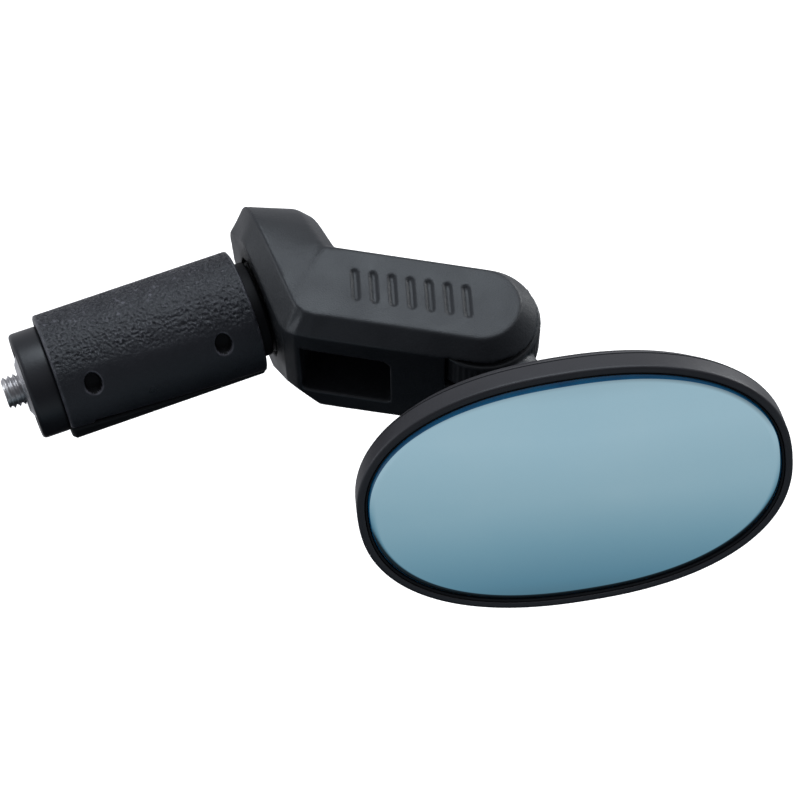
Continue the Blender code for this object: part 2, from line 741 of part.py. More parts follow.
def build_shell(looks, swing, shell_back, cup_radius):
    """The back shell: a shallow oval bowl whose side wall frames the bezel and the glass."""
    outer, wall = RIM_WIDTH, 1.1 * MM
    front = GLASS_DEPTH + 0.1 * MM
    side_back = front - RIM_DEPTH
    shell = [
        scaled_oval(0.30, outer, shell_back),
        scaled_oval(0.55, outer, shell_back + 0.15 * MM),
        scaled_oval(0.76, outer, shell_back + 0.7 * MM),
        scaled_oval(0.90, outer, shell_back + 1.6 * MM),
        glass_oval(outer - 0.9 * MM, side_back - 0.6 * MM),
        glass_oval(outer - 0.2 * MM, side_back + 0.4 * MM),
        glass_oval(outer, side_back + 1.4 * MM),
        glass_oval(outer, front - 0.5 * MM),
        glass_oval(outer - 0.4 * MM, front),
        glass_oval(outer - wall, front),
        glass_oval(outer - wall, side_back + 1.0 * MM),
        scaled_oval(0.90, outer - wall, shell_back + 3.1 * MM),
        scaled_oval(0.55, outer - wall, shell_back + 2.0 * MM),
        scaled_oval(0.30, outer - wall, shell_back + 1.7 * MM),
    ]
    obj = finish("head_shell", loft(shell), looks["plastic"], swing)
    hole = rod(-4 * MM, GLASS_DEPTH, cup_radius + 0.15 * MM, ALONG_Z, ROUND_SEGMENTS)
    cut(obj, hole)


def build_glass(looks, swing):
    """The bezel, the glass and what is behind it, from the front to the back."""
    gap = 0.12 * MM
    front = GLASS_DEPTH
    inner = 0.2 * MM
    outer = RIM_WIDTH - 1.1 * MM - 0.2 * MM
    bezel = [
        glass_oval(inner, front - 3.6 * MM),
        glass_oval(outer, front - 3.6 * MM),
        glass_oval(outer, front + 0.2 * MM),
        glass_oval((inner + outer) / 2, front + 0.45 * MM),
        glass_oval(inner, front + 0.2 * MM),
    ]
    bm = bmesh.new()
    rows = [[bm.verts.new(point) for point in ring] for ring in bezel]
    for first, second in zip(rows, [*rows[1:], rows[0]]):
        join_rings(bm, first, second)
    finish("bezel", bm, looks["plastic"], swing)

    glass = []
    for scale in (0.3, 0.6, 0.85, 0.985):
        crown = GLASS_CROWN * (1 - scale**2)
        glass.append(scaled_oval(scale, 0, front - 0.5 * MM + crown))
    glass.append(glass_oval(0, front - 0.8 * MM))
    glass.append(glass_oval(0, front - GLASS_THICKNESS))
    finish("mirror_glass", loft(glass), looks["glass"], swing)

    back = front - GLASS_THICKNESS - gap
    finish(
        "reflector",
        loft([glass_oval(-0.2 * MM, back), glass_oval(-0.2 * MM, back - 0.4 * MM)]),
        looks["reflector"],
        swing,
    )
    back -= 0.4 * MM + gap
    finish(
        "adhesive_pad",
        loft([glass_oval(-0.6 * MM, back), glass_oval(-0.6 * MM, back - 0.9 * MM)]),
        looks["foam"],
        swing,
    )


def main():
    clear_scene()
    looks = {
        "plastic": material("black_plastic", (0.020, 0.021, 0.024), 0.5),
        "rough_plastic": material("rough_black_plastic", (0.024, 0.023, 0.028), 0.8),
        "steel": material("zinc_steel", (0.62, 0.62, 0.62), 0.3, 1.0),
        "nylon": material("white_nylon", (0.75, 0.74, 0.70), 0.5),
        "glass": material("blue_tinted_glass", (0.16, 0.36, 0.46), 0.04),
        "reflector": material("reflector", (0.80, 0.84, 0.86), 0.05, 1.0),
        "foam": material("foam_pad", (0.05, 0.05, 0.05), 0.9),
    }
    plug = build_plug(looks)
    arm = build_arm(looks, plug)
    fold = build_knuckle(looks, arm)
    build_head(looks, fold)


main()
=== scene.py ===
"""The looks of the bar-end bicycle mirror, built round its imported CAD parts. Lengths are in metres."""

import json
import math

import bmesh
import bpy
import numpy as np
from mathutils import Euler, Matrix, Vector, noise


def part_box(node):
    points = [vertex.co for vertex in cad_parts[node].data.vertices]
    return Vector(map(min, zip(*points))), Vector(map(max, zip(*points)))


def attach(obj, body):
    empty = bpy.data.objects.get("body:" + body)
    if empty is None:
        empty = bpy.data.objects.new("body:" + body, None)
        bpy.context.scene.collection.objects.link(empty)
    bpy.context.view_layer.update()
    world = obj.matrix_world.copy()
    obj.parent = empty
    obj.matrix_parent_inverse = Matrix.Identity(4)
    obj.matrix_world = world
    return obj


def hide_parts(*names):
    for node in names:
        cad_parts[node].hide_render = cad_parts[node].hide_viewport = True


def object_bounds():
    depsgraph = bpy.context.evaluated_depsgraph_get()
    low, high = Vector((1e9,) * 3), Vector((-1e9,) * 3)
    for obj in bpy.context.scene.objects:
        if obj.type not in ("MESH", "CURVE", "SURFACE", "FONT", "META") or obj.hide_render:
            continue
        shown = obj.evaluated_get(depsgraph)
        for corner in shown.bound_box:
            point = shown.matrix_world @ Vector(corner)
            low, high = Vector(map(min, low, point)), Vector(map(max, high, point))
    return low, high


MM = 0.001
ALONG_Z = Matrix.Rotation(math.radians(-90), 4, "Y")

# Sizes that the CAD boxes do not give. Places are in the row frame.

# Expander sleeve: the slanting split between its halves, the upper half's longer edge at the tip's end,
# and the two blind holes as (x, angle from the top towards the near side).
SLEEVE_BORE = 5.6 * MM
SLEEVE_MOUTHS = (8.55 * MM, 7.85 * MM)
MOUTH_CONE = 9.0 * MM
SLEEVE_EDGE = 0.45 * MM
SPLIT_GAP = 0.9 * MM
SPLIT_TILT = math.radians(6.8)
SPLIT_AT = Vector((-29.7, 0, 0.1)) * MM
TAB_LENGTH = 3.6 * MM
TAB_DROP = 0.6 * MM
PAD_HOLES = ((-28.0 * MM, math.radians(47)), (-8.0 * MM, math.radians(52)))
PAD_HOLE_HALF = (1.3 * MM, 1.75 * MM)
PAD_HOLE_DEPTH = 1.5 * MM
GRAIN_SIZE = 0.46 * MM

# Wedges and bolt.
WEDGE_SMALL_END = 5.15 * MM
THREAD_PITCH = 0.8 * MM
THREAD_DEPTH = 0.46 * MM
THREAD_LENGTH = 9.0 * MM
BOLT_RADIUS = 2.5 * MM
BOLT_HOLE = BOLT_RADIUS + 0.3 * MM
BOLT_HEAD_RADIUS = 4.2 * MM
BOLT_HEAD_LENGTH = 4.0 * MM
BOLT_SOCKET_HALF = 2.0 * MM

# Arm and hinge barrel.
ARM_TURN = math.radians(-32)
ARM_TOP = 15.0 * MM
BAR_COUNT = 7
BAR_PITCH = 2.75 * MM
FIRST_BAR = 15.8 * MM
BARS_ACROSS = -2.6 * MM
BAR_HALF = (0.42 * MM, 2.5 * MM)
BAR_SLANT = 0.25
BAR_DEPTH = 0.34 * MM
BARREL_RADIUS = 8.35 * MM
BARREL_Z = (4.95 * MM, 11.45 * MM)
BARREL_RIBS = 60
RIB_DEPTH = 0.06 * MM

# Mirror head, in axes at the ball's centre.
GLASS_DEPTH = 11.0 * MM
GLASS_HALF = (28.6 * MM, 17.7 * MM)
GLASS_CROWN = 0.8 * MM
OVAL_POWER = 2.27
OVAL_SEGMENTS = 224
RIM_WIDTH = 1.89 * MM
SHELL_BACK = 3.0 * MM
SHELL_THICKNESS = 1.6 * MM
SHELL_RISE = 3.1 * MM
WALL_THICKNESS = 1.1 * MM
SIDE_HEIGHT = 5.0 * MM
SOCKET_RADIUS = 5.5 * MM
SOCKET_OUTER = 8.0 * MM
SOCKET_OPENING = 56

# Looks.
COOL_SHEEN = (0.88, 0.94, 1.0, 1.0)

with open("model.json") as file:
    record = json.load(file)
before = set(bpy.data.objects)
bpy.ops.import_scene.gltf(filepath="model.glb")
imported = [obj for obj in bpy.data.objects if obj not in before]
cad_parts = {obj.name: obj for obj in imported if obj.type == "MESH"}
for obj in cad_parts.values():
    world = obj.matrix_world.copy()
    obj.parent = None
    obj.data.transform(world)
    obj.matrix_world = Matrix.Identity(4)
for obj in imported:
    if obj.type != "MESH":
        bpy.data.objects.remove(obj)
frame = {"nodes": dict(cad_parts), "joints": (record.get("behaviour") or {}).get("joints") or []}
cad_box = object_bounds()
nodes = frame["nodes"]
joints = {joint["name"]: joint for joint in frame["joints"]}


# ---------------------------------------------------------------- shader nodes


def add(tree, kind, inputs=None, **settings):
    """Adds a shader node. inputs maps its sockets to values or to other nodes' sockets."""
    made = tree.nodes.new(kind)
    for name, value in settings.items():
        setattr(made, name, value)
    for key, value in (inputs or {}).items():
        if isinstance(value, bpy.types.NodeSocket):
            tree.links.new(value, made.inputs[key])
        else:
            made.inputs[key].default_value = value
    return made


def new_material(name):
    material = bpy.data.materials.new(name)
    material.use_nodes = True
    tree = material.node_tree
    return material, tree, tree.nodes["Principled BSDF"]


def noise_value(tree, where, size, detail=3.0, roughness=0.5):
    """Noise from 0 to 1 whose lumps are about as large as size."""
    made = add(
        tree,
        "ShaderNodeTexNoise",
        {"Vector": where, "Scale": 1 / size, "Detail": detail, "Roughness": roughness},
    )
    return made.outputs["Fac"]


def remap(tree, value, from_min, from_max, to_min, to_max, smooth=False):
    """Maps one range of a value to another and clamps the result."""
    made = add(
        tree,
        "ShaderNodeMapRange",
        {"Value": value, "From Min": from_min, "From Max": from_max, "To Min": to_min, "To Max": to_max},
        interpolation_type="SMOOTHSTEP" if smooth else "LINEAR",
    )
    return made.outputs["Result"]


def calculate(tree, operation, first, second):
    return add(tree, "ShaderNodeMath", {0: first, 1: second}, operation=operation).outputs[0]


def mix_colours(tree, factor, first, second):
    made = add(tree, "ShaderNodeMix", {"Factor": factor}, data_type="RGBA")
    for socket, value in zip([s for s in made.inputs if s.type == "RGBA"], (first, second)):
        if isinstance(value, bpy.types.NodeSocket):
            tree.links.new(value, socket)
        else:
            socket.default_value = (*value, 1.0)
    return [s for s in made.outputs if s.type == "RGBA"][0]


def bump(tree, height, distance, strength=1.0, below=None):
    inputs = {"Height": height, "Distance": distance, "Strength": strength}
    if below is not None:
        inputs["Normal"] = below
    return add(tree, "ShaderNodeBump", inputs).outputs["Normal"]


def stretched(tree, where, scale):
    return add(tree, "ShaderNodeMapping", {"Vector": where, "Scale": scale}).outputs["Vector"]


# ---------------------------------------------------------------- materials


def plastic(name, dark, light, roughness, grain, wear=0.2, worn=(0.05, 0.05, 0.06), specular=0.5):
    """Moulded plastic: a fine grain, cloudy colour, faint rubbed scratches and lighter edges.
    grain is (size, height) of the moulded texture, and worn is the colour of the rubbed edges."""
    material, tree, shader = new_material(name)
    where = add(tree, "ShaderNodeTexCoord").outputs["Object"]
    clouds = noise_value(tree, where, 7 * MM, 5)
    speckle = noise_value(tree, where, 0.25 * MM, 2)
    cloud_share = remap(tree, clouds, 0.3, 0.7, 0.0, 0.7)
    speckle_share = remap(tree, speckle, 0.3, 0.7, 0, 0.3)
    base = mix_colours(tree, calculate(tree, "ADD", cloud_share, speckle_share), dark, light)

    pointy = add(tree, "ShaderNodeNewGeometry").outputs["Pointiness"]
    edge = remap(tree, pointy, 0.505, 0.56, 0.0, 1.0, smooth=True)
    rubbed = remap(tree, noise_value(tree, where, 1.8 * MM, 4), 0.35, 0.65, 0.2, 1.0)
    worn_amount = calculate(tree, "MULTIPLY", calculate(tree, "MULTIPLY", edge, rubbed), wear)
    base = mix_colours(tree, worn_amount, base, worn)

    streaks = noise_value(tree, stretched(tree, where, (90, 900, 900)), 1.0, 4, 0.7)
    scratches = remap(tree, streaks, 0.62, 0.72, 0.0, 0.08)
    cloudy = remap(tree, clouds, 0.3, 0.7, roughness - 0.05, roughness + 0.05)
    rough = calculate(tree, "ADD", cloudy, scratches)

    size, height = grain
    fine = noise_value(tree, where, size, 3, 0.6)
    coarse = noise_value(tree, where, size * 6, 2)
    normal = bump(tree, fine, height)
    normal = bump(tree, coarse, height * 1.5, 0.5, normal)
    for socket, value in (("Base Color", base), ("Roughness", rough), ("Normal", normal)):
        tree.links.new(value, shader.inputs[socket])
    shader.inputs["Specular IOR Level"].default_value = specular
    shader.inputs["Specular Tint"].default_value = COOL_SHEEN
    return material


def metal(name, colour, tarnished, roughness):
    """Plated steel: fine turning or rolling marks, cloudy tarnish and dark traces in the hollows."""
    material, tree, shader = new_material(name)
    where = add(tree, "ShaderNodeTexCoord").outputs["Object"]
    clouds = noise_value(tree, where, 2.5 * MM, 5)
    base = mix_colours(tree, remap(tree, clouds, 0.3, 0.7, 0, 1), colour, tarnished)
    pointy = add(tree, "ShaderNodeNewGeometry").outputs["Pointiness"]
    hollow = remap(tree, pointy, 0.42, 0.5, 0.35, 0.0, smooth=True)
    base = mix_colours(tree, hollow, base, (0.05, 0.048, 0.045))
    marks = noise_value(tree, stretched(tree, where, (40, 40, 4000)), 1.0, 3, 0.7)
    rough = calculate(tree, "ADD", remap(tree, marks, 0.3, 0.7, roughness - 0.08, roughness + 0.08), hollow)
    normal = bump(tree, marks, 0.006 * MM)
    for socket, value in (("Base Color", base), ("Roughness", rough), ("Normal", normal)):
        tree.links.new(value, shader.inputs[socket])
    shader.inputs["Metallic"].default_value = 1.0
    return material


def mirror_face():
    """Blue-tinted mirror glass, with the faintest ripple, dust and smears."""
    material, tree, shader = new_material("tinted_mirror")
    where = add(tree, "ShaderNodeTexCoord").outputs["Object"]
    smear = noise_value(tree, stretched(tree, where, (60, 25, 60)), 1.0, 5, 0.6)
    base = mix_colours(tree, remap(tree, smear, 0.3, 0.7, 0, 1), (0.56, 0.80, 0.89), (0.53, 0.78, 0.88))
    dust = remap(tree, noise_value(tree, where, 0.3 * MM, 2), 0.66, 0.8, 0.0, 0.05)
    rough = calculate(tree, "ADD", remap(tree, smear, 0.35, 0.75, 0.03, 0.07), dust)
    ripple = bump(tree, noise_value(tree, where, 25 * MM, 1), 0.01 * MM, 0.4)
    for socket, value in (("Base Color", base), ("Roughness", rough), ("Normal", ripple)):
        tree.links.new(value, shader.inputs[socket])
    shader.inputs["Metallic"].default_value = 1.0
    shader.inputs["Coat Weight"].default_value = 0.4
    shader.inputs["Coat Roughness"].default_value = 0.02
    return material


def glass_edge():
    """The tinted glass's edge in a deep blue: partly the glass's own colour, and partly a painted
    reflection of the rim seen through the thick glass.
    """
    material, tree, shader = new_material("blue_edge_painted_reflection")
    where = add(tree, "ShaderNodeTexCoord").outputs["Object"]
    clouds = noise_value(tree, where, 3 * MM, 4)
    base = mix_colours(tree, remap(tree, clouds, 0.3, 0.7, 0, 1), (0.0, 0.24, 0.52), (0.0, 0.16, 0.40))
    normal = bump(tree, noise_value(tree, where, 0.2 * MM, 3), 0.01 * MM, 0.6)
    for socket, value in (("Base Color", base), ("Normal", normal)):
        tree.links.new(value, shader.inputs[socket])
    shader.inputs["Roughness"].default_value = 0.2
    shader.inputs["Coat Weight"].default_value = 0.6
    return material


LOOKS = {
    "arm": plastic("satin_arm", (0.007, 0.008, 0.010), (0.012, 0.013, 0.016), 0.45, (0.25 * MM, 0.04 * MM)),
    "knuckle": plastic(
        "dark_knuckle", (0.010, 0.011, 0.013), (0.016, 0.017, 0.020), 0.42, (0.25 * MM, 0.015 * MM)
    ),
    "head": plastic(
        "satin_head", (0.013, 0.012, 0.015), (0.018, 0.017, 0.021), 0.48, (0.20 * MM, 0.015 * MM)
    ),
    "smooth": plastic(
        "smooth_black",
        (0.008, 0.008, 0.010),
        (0.012, 0.012, 0.015),
        0.36,
        (0.3 * MM, 0.012 * MM),
        specular=0.4,
    ),
    "rough": plastic(
        "rough_sleeve",
        (0.006, 0.007, 0.010),
        (0.014, 0.014, 0.019),
        0.32,
        (0.15 * MM, 0.09 * MM),
        wear=0.9,
        worn=(0.10, 0.10, 0.12),
    ),
    # Nearly black with little sheen, for the front lip and the washers; on the plug neck, the lower sleeve
    # half and the pad holes' faces it is painted shade.
    "black_and_painted_shade": plastic(
        "black_and_painted_shade_plastic",
        (0.004, 0.004, 0.005),
        (0.007, 0.007, 0.008),
        0.6,
        (0.3 * MM, 0.01 * MM),
        wear=0.05,
        specular=0.2,
    ),
    "nylon": plastic(
        "nylon", (0.70, 0.69, 0.64), (0.78, 0.77, 0.73), 0.45, (0.3 * MM, 0.01 * MM), worn=(0.85, 0.84, 0.8)
    ),
    "foam": plastic("foam", (0.04, 0.04, 0.04), (0.06, 0.06, 0.06), 0.9, (0.35 * MM, 0.15 * MM), wear=0.0),
    "steel": metal("plated_steel", (0.62, 0.62, 0.63), (0.465, 0.465, 0.4914), 0.30),
    "mirror": mirror_face(),
    "glass_edge": glass_edge(),
}


# ---------------------------------------------------------------- meshes


def piece(name, mesh, look, body, *replaced):
    """Shows a mesh, given in the row frame, in place of CAD nodes."""
    mesh.shade_smooth()
    obj = bpy.data.objects.new(name, mesh)
    bpy.context.scene.collection.objects.link(obj)
    mesh.materials.append(LOOKS[look])
    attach(obj, body)
    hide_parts(*replaced)
    return obj


def mesh_of_rings(name, rings, closed=False, axes=Matrix.Identity(4)):
    """A mesh through rings of points with the same number of points. A ring may be one point.
    closed joins the last ring to the first; if not, open ends get a flat face."""
    bm = bmesh.new()
    rows = [[bm.verts.new(axes @ Vector(point)) for point in ring] for ring in rings]
    pairs = list(zip(rows, rows[1:]))
    if closed:
        pairs.append((rows[-1], rows[0]))
    for first, second in pairs:
        count = max(len(first), len(second))
        for i in range(count):
            corners = (
                first[i % len(first)],
                first[(i + 1) % len(first)],
                second[(i + 1) % len(second)],
                second[i % len(second)],
            )
            bm.faces.new(list(dict.fromkeys(corners)))
    if not closed:
        for end in (rows[0], rows[-1]):
            if len(end) > 2:
                bm.faces.new(end)
    bmesh.ops.recalc_face_normals(bm, faces=bm.faces)
    mesh = bpy.data.meshes.new(name)
    bm.to_mesh(mesh)
    bm.free()
    return mesh


def rounded(points, radius, steps=4, closed=False):
    """A line through 2-D points with its corners rounded. A point may carry its own radius."""
    flat = [Vector(p[:2]) for p in points]
    out = []
    last = len(points) - 1
    for i, corner in enumerate(flat):
        if not closed and i in (0, last):
            out.append(tuple(corner))
            continue
        own = points[i][2] if len(points[i]) > 2 else radius
        before = flat[i - 1] - corner
        after = flat[(i + 1) % len(flat)] - corner
        reach = min(own, 0.48 * before.length, 0.48 * after.length)
        start = corner + before.normalized() * reach
        end = corner + after.normalized() * reach
        for k in range(steps + 1):
            t = k / steps
            out.append(tuple((1 - t) ** 2 * start + 2 * t * (1 - t) * corner + t**2 * end))
    return out


def circle(x, radius, segments):
    """A ring round X. radius is a number, or a function of the angle."""
    ring = []
    for i in range(segments):
        angle = math.tau * i / segments
        r = radius(angle) if callable(radius) else radius
        ring.append((x, r * math.cos(angle), r * math.sin(angle)))
    return ring


def lathe(name, profile, segments=96, axes=Matrix.Identity(4)):
    """A turned solid round X from (x, radius) points: a closed loop unless it starts on the axis."""
    rings = [[(x, 0, 0)] if radius == 0 else circle(x, radius, segments) for x, radius in profile]
    on_axis = profile[0][1] == 0
    return mesh_of_rings(name, rings, not on_axis, axes)


def hexagon(flat_radius):
    """A hexagon as a function that gives its radius at an angle."""
    sixth = math.radians(60)

    def radius(angle):
        return flat_radius / math.cos((angle + sixth / 2) % sixth - sixth / 2)

    return radius


def softened(name, node, voxel, passes):
    """The shape of a CAD node with an even fine mesh and softly rounded edges."""
    obj = bpy.data.objects.new(name, nodes[node].data.copy())
    bpy.context.scene.collection.objects.link(obj)
    remesh = obj.modifiers.new("remesh", "REMESH")
    remesh.mode = "VOXEL"
    remesh.voxel_size = voxel
    smooth = obj.modifiers.new("smooth", "SMOOTH")
    smooth.factor = 0.5
    smooth.iterations = passes
    graph = bpy.context.evaluated_depsgraph_get()
    mesh = bpy.data.meshes.new_from_object(obj.evaluated_get(graph))
    mesh.name = name
    mesh.materials.clear()
    bpy.data.objects.remove(obj)
    return mesh


def points_of(mesh):
    """The mesh's points as an array with one row each."""
    flat = np.zeros(len(mesh.vertices) * 3)
    mesh.vertices.foreach_get("co", flat)
    return flat.reshape(-1, 3)


def set_points(mesh, points):
    mesh.vertices.foreach_set("co", points.astype(np.float32).ravel())
    mesh.update()


def smooth_where(mesh, weights, passes):
    """The mesh, smoothed further where the weights say."""
    obj = bpy.data.objects.new(mesh.name, mesh)
    bpy.context.scene.collection.objects.link(obj)
    group = obj.vertex_groups.new(name="soft")
    levels = np.round(weights * 10).astype(int)
    for level in range(1, 11):
        group.add(np.flatnonzero(levels == level).tolist(), level / 10, "REPLACE")
    smooth = obj.modifiers.new("smooth", "SMOOTH")
    smooth.factor = 0.5
    smooth.iterations = passes
    smooth.vertex_group = "soft"
    graph = bpy.context.evaluated_depsgraph_get()
    result = bpy.data.meshes.new_from_object(obj.evaluated_get(graph))
    bpy.data.objects.remove(obj)
    return result


def smoothstep(value, low, high):
    """Rises smoothly from 0 at low to 1 at high."""
    t = np.clip((value - low) / (high - low), 0, 1)
    return t * t * (3 - 2 * t)


# ---------------------------------------------------------------- expander plug


def edge_drop(distance, radius):
    """How far a rounded edge of this radius lies below the surface, at a distance from its end."""
    return radius - math.sqrt(max(radius**2 - max(radius - distance, 0) ** 2, 0))


def from_hole(hole, x, angle, radius):
    """Distance from a blind hole's middle, with 1 at its oval edge. angle counts from +Z to -Y."""
    along = (x - hole[0]) / PAD_HOLE_HALF[0]
    up = radius * (angle - hole[1]) / PAD_HOLE_HALF[1]
    return math.hypot(along, up)


def sleeve_relief(x, angle, radius, from_end):
    """How far the upper sleeve's surface stands out from its cylinder. angle counts from +Z to +Y.
    The grain ends at a border on the near side that slants along the sleeve, given in degrees."""
    towards_front = -math.degrees(angle)
    border = 24 + 14 * (x + 33 * MM) / (29 * MM)
    grain_area = smoothstep(border - towards_front, -9.0, 6.0) * smoothstep(towards_front + 62, 0, 6)
    grain_area *= smoothstep(from_end, 0.2 * MM, 0.7 * MM)
    height = 0.0
    if grain_area > 0:
        place = Vector((x, radius * math.sin(angle), radius * math.cos(angle))) / GRAIN_SIZE
        worms = 1 - abs(noise.noise(place)) * 2.6
        fine = noise.noise(place * 2.3 + Vector((7, 3, 1)))
        height = grain_area * (0.14 * MM * worms + 0.06 * MM * fine - 0.18 * MM)
    for hole in PAD_HOLES:
        height -= PAD_HOLE_DEPTH * (1 - smoothstep(from_hole(hole, x, -angle, radius), 0.8, 1.04))
    return float(height)


def sleeve_mesh(name, rings, arc_points):
    """Closes C-shaped rings, each an outer arc followed by an inner arc, into a solid."""
    bm = bmesh.new()
    rows = [[bm.verts.new(point) for point in ring] for ring in rings]
    count = len(rows[0])
    for first, second in zip(rows, rows[1:]):
        for i in range(count):
            j = (i + 1) % count
            bm.faces.new((first[i], first[j], second[j], second[i]))
    for row in (rows[0], rows[-1]):
        for i in range(arc_points - 1):
            bm.faces.new((row[i], row[i + 1], row[count - 2 - i], row[count - 1 - i]))
    bmesh.ops.recalc_face_normals(bm, faces=bm.faces)
    mesh = bpy.data.meshes.new(name)
    bm.to_mesh(mesh)
    bm.free()
    return mesh


def sleeve_half(name, node, body, look, side):
    """One half of the expanding sleeve. side is 1 for the upper half and -1 for the lower.
    The upper half has a coarse raised grain above a smooth band with two blind oval holes, and its split
    edges reach further down at the tip's end."""
    low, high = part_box(node)
    radius = max(-low.y, high.y)
    near, far = high.x, low.x
    across = 200 if side > 0 else 120
    along = 220 if side > 0 else 60
    tilt = math.tan(SPLIT_TILT)
    rings = []
    for i in range(along + 1):
        x = far + (near - far) * i / along
        split_z = SPLIT_AT.z - (x - SPLIT_AT.x) * tilt + side * SPLIT_GAP / 2
        if side > 0:
            split_z -= TAB_DROP * (1 - smoothstep(x - far - TAB_LENGTH, -0.2 * MM, 0.2 * MM))
        from_end = min(x - far, near - x)
        inner = max(
            SLEEVE_BORE,
            SLEEVE_MOUTHS[0] - (x - far) * (SLEEVE_MOUTHS[0] - SLEEVE_BORE) / MOUTH_CONE,
            SLEEVE_MOUTHS[1] - (near - x) * (SLEEVE_MOUTHS[1] - SLEEVE_BORE) / MOUTH_CONE,
        )
        end_drop = edge_drop(from_end, SLEEVE_EDGE)
        outer_arc, inner_arc = [], []
        reach = math.acos(max(-1, min(1, side * split_z / radius)))
        inner_reach = math.acos(max(-1, min(1, side * split_z / inner)))
        for k in range(across + 1):
            share = 2 * k / across - 1
            angle = reach * share
            from_split = radius * reach * (1 - abs(share))
            r = radius - max(end_drop, edge_drop(from_split, SLEEVE_EDGE))
            if side > 0:
                r += sleeve_relief(x, -angle, radius, from_end)
            outer_arc.append((x, r * math.sin(-angle), side * r * math.cos(angle)))
            angle = inner_reach * share
            inner_arc.append((x, inner * math.sin(-angle), side * inner * math.cos(angle)))
        rings.append(outer_arc + inner_arc[::-1])
    mesh = sleeve_mesh(name, rings, across + 1)
    piece(name, mesh, look, body, node)
    # Faces inside the blind holes take the nearly black material: painted shade in the recesses.
    mesh.materials.append(LOOKS["black_and_painted_shade"])
    for polygon in mesh.polygons:
        middle = polygon.center
        angle = math.atan2(-middle.y, middle.z)
        if any(from_hole(hole, middle.x, angle, radius) < 0.97 for hole in PAD_HOLES):
            polygon.material_index = 1


def build_plug():
    """The sleeve's halves, the fixed neck with its cone, the tip with its cup, and the nut in the cup."""
    sleeve_half("grip_sleeve_upper", "sleeve_upper", "sleeve_up", "rough", 1)
    # The lower half takes the nearly black material: painted shade, for it lies in the shadow under the
    # plug.
    sleeve_half("grip_sleeve_lower", "sleeve_lower", "sleeve_down", "black_and_painted_shade", -1)

    low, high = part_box("root_wedge")
    radius = high.z
    neck = [
        (high.x, BOLT_HOLE),
        (high.x, radius - 0.3 * MM),
        (high.x - 0.3 * MM, radius),
        (high.x - 2.1 * MM, radius),
        (low.x, WEDGE_SMALL_END),
        (low.x, BOLT_HOLE),
    ]
    mesh = lathe("plug_neck", rounded(neck, 0.12 * MM, 3, True))
    # The neck takes the nearly black material: painted shade in its recess beside the boss.
    piece("plug_neck", mesh, "black_and_painted_shade", "plug", "root_wedge")

    low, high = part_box("tip_wedge")
    end, radius = low.x, high.z
    cup = 6.6 * MM
    tip = [
        (end + 1.4 * MM, BOLT_HOLE),
        (end + 1.4 * MM, cup),
        (end, cup, 0.35 * MM),
        (end, radius, 1.7 * MM),
        (-33.3 * MM, radius),
        (high.x, WEDGE_SMALL_END),
        (high.x, BOLT_HOLE),
    ]
    mesh = lathe("tip_cup", rounded(tip, 0.15 * MM, 6, True), 128)
    piece("tip_cup", mesh, "smooth", "tip", "tip_wedge")

    low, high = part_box("wedge_nut")
    face, back = low.x, high.x
    bore = BOLT_HOLE - 0.1 * MM
    dome = [
        (back, bore),
        (face + 0.25 * MM, bore, 0.2 * MM),
        (face, bore + 0.45 * MM, 0.2 * MM),
        (face, 3.7 * MM, 0.3 * MM),
        (face + 0.18 * MM, 3.95 * MM, 0.2 * MM),
        (face + 0.45 * MM, 4.6 * MM, 0.4 * MM),
        (face + 0.75 * MM, 5.2 * MM, 0.2 * MM),
        (face + 0.75 * MM, 6.3 * MM, 0.15 * MM),
        (back, 6.3 * MM),
    ]
    mesh = lathe("domed_nut", rounded(dome, 0.1 * MM, 5, True), 128)
    piece("domed_nut", mesh, "steel", "tip", "wedge_nut")
    build_bolt()


def build_bolt():
    """The clamp bolt: a real helical thread at its end, a plain shank, and a head with a hexagon socket."""
    low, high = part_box("clamp_bolt")
    end, head_end = low.x, high.x
    root = BOLT_RADIUS - THREAD_DEPTH
    threaded_to = end + THREAD_LENGTH
    segments = 72
    rings = [[(end, 0, 0)], circle(end, root - 0.1 * MM, segments)]
    rows = int((threaded_to - end) / (0.05 * MM))
    for i in range(rows + 1):
        x = end + (threaded_to - end) * i / rows
        chamfer = root + (x - end) * 1.2

        def thread(angle, x=x, chamfer=chamfer):
            turn = ((x - end) / THREAD_PITCH - angle / math.tau) % 1.0
            flank = min(abs(turn - 0.5) * 2 / 0.86, 1.0)
            fade = min((threaded_to - x) / (0.6 * MM), 1.0)
            return min(BOLT_RADIUS - THREAD_DEPTH * flank * fade, chamfer)

        rings.append(circle(x, thread, segments))
    head_start = head_end - BOLT_HEAD_LENGTH
    outline = rounded(
        [
            (threaded_to + 1 * MM, BOLT_RADIUS),
            (head_start, BOLT_RADIUS),
            (head_start, BOLT_HEAD_RADIUS, 0.25 * MM),
            (head_end, BOLT_HEAD_RADIUS, 0.4 * MM),
            (head_end, 2.7 * MM),
            (head_end - 0.3 * MM, 2.4 * MM),
        ],
        0.1 * MM,
        4,
    )
    rings += [circle(x, r, segments) for x, r in outline]
    socket = hexagon(BOLT_SOCKET_HALF)
    rings.append(circle(head_end - 0.32 * MM, socket, segments))
    rings.append(circle(head_end - 2.3 * MM, socket, segments))
    rings.append([(head_end - 2.5 * MM, 0, 0)])
    piece("threaded_bolt", mesh_of_rings("threaded_bolt", rings), "steel", "bolt", "clamp_bolt")


# ---------------------------------------------------------------- arm and knuckle


